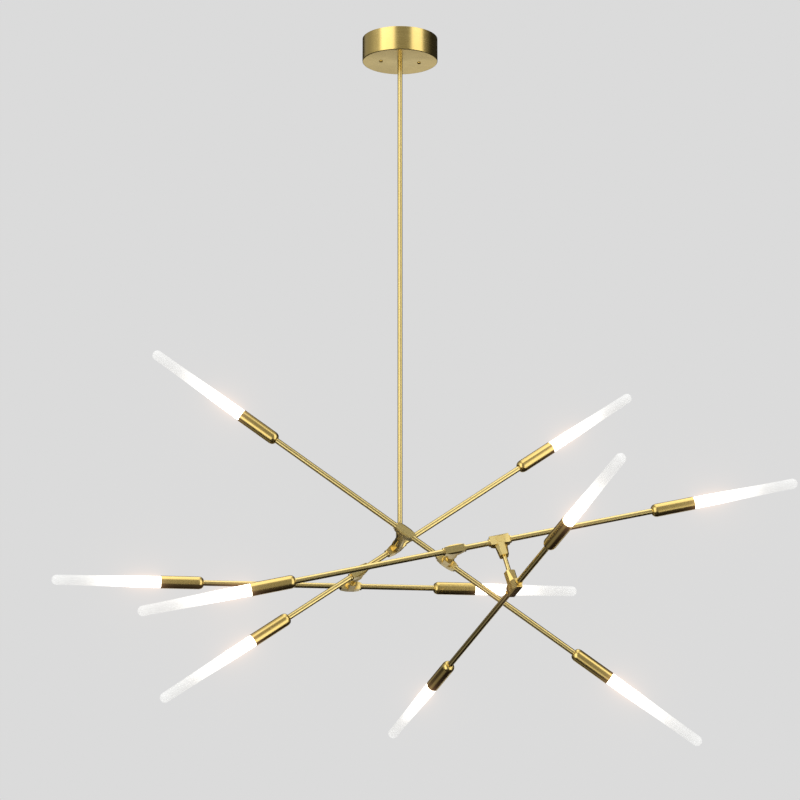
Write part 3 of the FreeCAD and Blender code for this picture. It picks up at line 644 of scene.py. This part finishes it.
def make_canopy_screws():
    """Domed socket screws under the canopy; the shanks go up out of sight into the strip."""
    points = points_of("canopy_screws")
    split = mean(points)
    across = max((p - split for p in points), key=lambda d: math.hypot(d.x, d.y))
    canopy_floor, _ = heights_of("canopy_cover", Matrix.Identity(4))
    for label, sign in (("left", -1.0), ("right", 1.0)):
        near = [p for p in points if (p - split).dot(across) * sign > 0.0]
        low = min(p.z for p in near)
        high = max(p.z for p in near)
        head = [p for p in near if p.z < canopy_floor + SCREW_HEAD_TO]
        centre = mean(head)
        place = Matrix.Translation((centre.x, centre.y, 0.0))
        radius = girth_of(head, place)
        shank = girth_of([p for p in near if p.z > canopy_floor + SCREW_SHANK_FROM], place)
        rise = canopy_floor - low
        rim = canopy_floor - rise * (1.0 - SCREW_DOME)
        angles = [math.radians(angle) for angle in SCREW_DOME_ANGLES]
        outline = [(0.0, high), (shank, high), (shank, canopy_floor), (radius, canopy_floor)]
        outline += [(radius * math.cos(a), rim - rise * SCREW_DOME * math.sin(a)) for a in angles]
        outline += [(r, low + z) for r, z in (SOCKET_MOUTH, SOCKET_WALL, SOCKET_POINT)]
        piece = lathe("canopy_screw_" + label, outline, place, body_of("canopy_screws"),
                      POLISHED, SCREW_SEGMENTS, closed=False)
        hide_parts("canopy_screws")


def make_stem():
    place = Matrix.Identity(4)
    low, high = heights_of("stem", place)
    radius = girth("stem", place)
    bore = radius - TUBE_WALL
    outline = [(bore, low), (radius, low), (radius, high - STEM_CHAMFER),
               (radius - STEM_CHAMFER, high), (bore, high)]
    piece = lathe("stem_rod", outline, place, body_of("stem"), DRAWN, TUBE_SEGMENTS)
    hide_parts("stem")


make_canopy()
make_canopy_screws()
make_stem()


# ---------------------------------------------------------------- fittings and inner pieces
REPAINTED = {
    "swivel_link": DRAWN,
    "set_screws": BLACKED,
    "lampholders": STEATITE,
    "earth_screw": POLISHED,
    "ceiling_bracket": ZINC,
    "stem_lock_nut": ZINC,
    "terminal_block": NYLON,
    "stem_hub": MILLED,
}


def fitting_place(node, arm):
    """Frame of a tee fitting: X along the arm, Z up the neck."""
    run = arm_axis[arm]
    start, _ = arm_ends[arm]
    low, high = heights_of(node, frame_at(start, run))
    middle = start + run * (low + high) / 2
    neck = mean(points_of(node)) - middle
    neck = (neck - run * neck.dot(run)).normalized()
    turned = Matrix((run, neck.cross(run), neck)).transposed()
    return Matrix.Translation(middle) @ turned.to_4x4()


def make_fitting(node):
    """Tee fitting; its node is named tee_fitting_ARM_to_OTHER."""
    arm = node.split("_")[2]
    name = node.replace("tee_fitting", "fitting")
    piece = broken_edges(name, node, fitting_place(node, arm), MILLED)
    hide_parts(node)


for node in sorted(frame["nodes"]):
    if node.startswith("tee_fitting_"):
        make_fitting(node)
    for start, material in REPAINTED.items():
        if node.startswith(start):
            repaint(node, material)


# ---------------------------------------------------------------- floor and fill light
ROOM_HEIGHT = 2.6
FLOOR_SIZE = 160.0
FLOOR_ROUGHNESS = 0.9
FLOOR_SHEEN = 0.1
FLOOR_PATCHES = (0.6,) * 3
FLOOR_DIM = (0.95, 0.95, 0.95)
FLOOR_PALE = (0.97, 0.97, 0.97)
FILL_SIZE = 6.0
FILL_HEIGHT = 4.0
FILL_POWER = 60.0


def make_floor():
    mesh = bpy.data.meshes.new("floor")
    half = FLOOR_SIZE / 2
    corners = [(-half, -half, -ROOM_HEIGHT), (half, -half, -ROOM_HEIGHT),
               (half, half, -ROOM_HEIGHT), (-half, half, -ROOM_HEIGHT)]
    mesh.from_pydata(corners, [], [(0, 1, 2, 3)])
    material, tree = new_material("pale_floor")
    shader = shader_of(tree)
    shader.inputs["Roughness"].default_value = FLOOR_ROUGHNESS
    shader.inputs["Specular IOR Level"].default_value = FLOOR_SHEEN
    tone = blend_colours(tree, stretched_noise(tree, FLOOR_PATCHES), FLOOR_DIM, FLOOR_PALE)
    tree.links.new(tone, shader.inputs["Base Color"])
    mesh.materials.append(material)
    floor = bpy.data.objects.new("floor", mesh)
    floor.visible_glossy = False
    bpy.context.scene.collection.objects.link(floor)


def make_fill():
    """Wide soft light above, for matt surfaces only, as the glossy ones see the softboxes."""
    light = bpy.data.lights.new("overhead_fill", "AREA")
    light.shape = "DISK"
    light.size = FILL_SIZE
    light.energy = FILL_POWER
    lamp = bpy.data.objects.new("overhead_fill", light)
    bpy.context.scene.collection.objects.link(lamp)
    lamp.location = (0.0, 0.0, FILL_HEIGHT)
    lamp.visible_glossy = False
    lamp.visible_camera = False


# ---------------------------------------------------------------- room
BACKDROP = 0.708

# azimuth from the front towards +X and elevation in degrees, then the softness of the edges
# and the light added
SOFTBOXES = (
    # tall panel on the left
    ((-62.0, -16.0), (-36.0, 42.0), 12.0, 1.80),
    # tall panel on the right
    ((35.0, 74.0), (-36.0, 54.0), 11.0, 1.60),
    # pale wall on the left
    ((-140.0, -50.0), (4.0, 60.0), 20.0, 0.36),
    # faint light low on the left
    ((-132.0, -88.0), (-66.0, -34.0), 16.0, 0.24),
    # strip of lit floor behind, on both sides of straight back
    ((-206.0, -154.0), (-27.0, -11.0), 8.0, 0.85),
    ((154.0, 206.0), (-27.0, -11.0), 8.0, 0.85),
)

# panel overhead, by the height and the sideways part of the direction
TOP_LIGHT = 2.0
TOP_FROM, TOP_FULL = 0.62, 0.90
TOP_HALF, TOP_EDGE = 0.12, 0.42
TOP_BESIDE = 0.2

# general light, by the forward part of the direction and then by its height
BACK_FILL, FRONT_FILL = 0.03, 0.34
FRONT_FROM, FRONT_FULL = -0.35, 0.3
LOW_FROM, LOW_FULL = -0.70, -0.34
LOW_SHARE = 0.1


def world_math(tree, operation, first, second=0.0):
    node = add_node(tree, "Math", operation=operation)
    for socket, value in zip(node.inputs, (first, second)):
        if isinstance(value, float):
            socket.default_value = value
        else:
            tree.links.new(value, socket)
    return node.outputs["Value"]


def smooth_step(tree, source, start, end, low=0.0, high=1.0):
    node = add_node(tree, "MapRange", {"From Min": start, "From Max": end,
                                       "To Min": low, "To Max": high},
                    interpolation_type="SMOOTHSTEP")
    tree.links.new(source, node.inputs["Value"])
    return node.outputs["Result"]


def angle_window(tree, angle, limits, softness):
    """One between two angles in degrees and nought outside them, with soft edges."""
    low, high = (math.radians(limit) for limit in limits)
    half = math.radians(softness) / 2
    rise = smooth_step(tree, angle, low - half, low + half)
    fall = smooth_step(tree, angle, high - half, high + half, 1.0, 0.0)
    return world_math(tree, "MULTIPLY", rise, fall)


def room_light(tree):
    """Strength of the room in each direction: softboxes, a panel overhead and dark corners."""
    coordinates = add_node(tree, "TexCoord")
    split = add_node(tree, "SeparateXYZ")
    tree.links.new(coordinates.outputs["Generated"], split.inputs["Vector"])
    right, height = split.outputs["X"], split.outputs["Z"]
    to_front = world_math(tree, "MULTIPLY", split.outputs["Y"], -1.0)
    azimuth = world_math(tree, "ARCTAN2", right, to_front)
    elevation = world_math(tree, "ARCSINE", height)
    front = smooth_step(tree, to_front, FRONT_FROM, FRONT_FULL, BACK_FILL, FRONT_FILL)
    level = smooth_step(tree, height, LOW_FROM, LOW_FULL, LOW_SHARE, 1.0)
    room = world_math(tree, "MULTIPLY", front, level)
    for azimuths, elevations, softness, light in SOFTBOXES:
        across = angle_window(tree, azimuth, azimuths, softness)
        upward = angle_window(tree, elevation, elevations, softness)
        panel = world_math(tree, "MULTIPLY", world_math(tree, "MULTIPLY", across, upward), light)
        room = world_math(tree, "ADD", room, panel)
    overhead = smooth_step(tree, height, TOP_FROM, TOP_FULL, 0.0, TOP_LIGHT)
    sideways = world_math(tree, "ABSOLUTE", right)
    inside = smooth_step(tree, sideways, TOP_HALF, TOP_EDGE, 1.0, TOP_BESIDE)
    overhead = world_math(tree, "MULTIPLY", overhead, inside)
    return world_math(tree, "MAXIMUM", room, overhead)


def make_world():
    """Even backdrop for the eye, and the room for everything that reflects or is lit."""
    world = bpy.data.worlds.new("studio")
    bpy.context.scene.world = world
    world.use_nodes = True
    tree = world.node_tree
    tree.nodes.clear()
    studio = add_node(tree, "Background")
    tree.links.new(room_light(tree), studio.inputs["Strength"])
    backdrop = add_node(tree, "Background", {"Color": (1.0, 1.0, 1.0, 1.0), "Strength": BACKDROP})
    path = add_node(tree, "LightPath")
    choose = add_node(tree, "MixShader")
    out = add_node(tree, "OutputWorld")
    tree.links.new(path.outputs["Is Camera Ray"], choose.inputs["Fac"])
    tree.links.new(studio.outputs["Background"], choose.inputs[1])
    tree.links.new(backdrop.outputs["Background"], choose.inputs[2])
    tree.links.new(choose.outputs["Shader"], out.inputs["Surface"])


# ---------------------------------------------------------------- camera and picture
CAMERA_BACK = 3.621
CAMERA_DROP = 1.334
CAMERA_TILT = math.radians(11.25)
CAMERA_LENS = 102.8
CAMERA_FAR = 400.0

# bloom round the lit glass
GLOW_THRESHOLD = 1.5
GLOW_STRENGTH = 0.42
GLOW_SIZE = 0.28
GLOW_TINT = (1.0, 0.58, 0.32, 1.0)

CLAMP_DIRECT = 8.0
CLAMP_INDIRECT = 1.5


def make_camera():
    camera = bpy.data.cameras.new("camera")
    camera.lens = CAMERA_LENS
    camera.clip_end = CAMERA_FAR
    holder = bpy.data.objects.new("camera", camera)
    bpy.context.scene.collection.objects.link(holder)
    holder.location = (0.0, -CAMERA_BACK, -CAMERA_DROP)
    holder.rotation_euler = (math.pi / 2 + CAMERA_TILT, 0.0, 0.0)
    bpy.context.scene.camera = holder


def make_glow():
    """Soft warm bloom of the lens round the lit glass."""
    scene = bpy.context.scene
    scene.use_nodes = True
    tree = scene.node_tree
    tree.nodes.clear()
    layers = tree.nodes.new("CompositorNodeRLayers")
    glare = tree.nodes.new("CompositorNodeGlare")
    glare.glare_type = "BLOOM"
    glare.quality = "HIGH"
    glare.inputs["Threshold"].default_value = GLOW_THRESHOLD
    glare.inputs["Strength"].default_value = GLOW_STRENGTH
    glare.inputs["Size"].default_value = GLOW_SIZE
    glare.inputs["Tint"].default_value = GLOW_TINT
    output = tree.nodes.new("CompositorNodeComposite")
    tree.links.new(layers.outputs["Image"], glare.inputs["Image"])
    tree.links.new(glare.outputs["Image"], output.inputs["Image"])


make_floor()
make_fill()
make_world()
make_camera()
make_glow()
bpy.context.scene.view_settings.view_transform = "Standard"
bpy.context.scene.cycles.sample_clamp_direct = CLAMP_DIRECT
bpy.context.scene.cycles.sample_clamp_indirect = CLAMP_INDIRECT
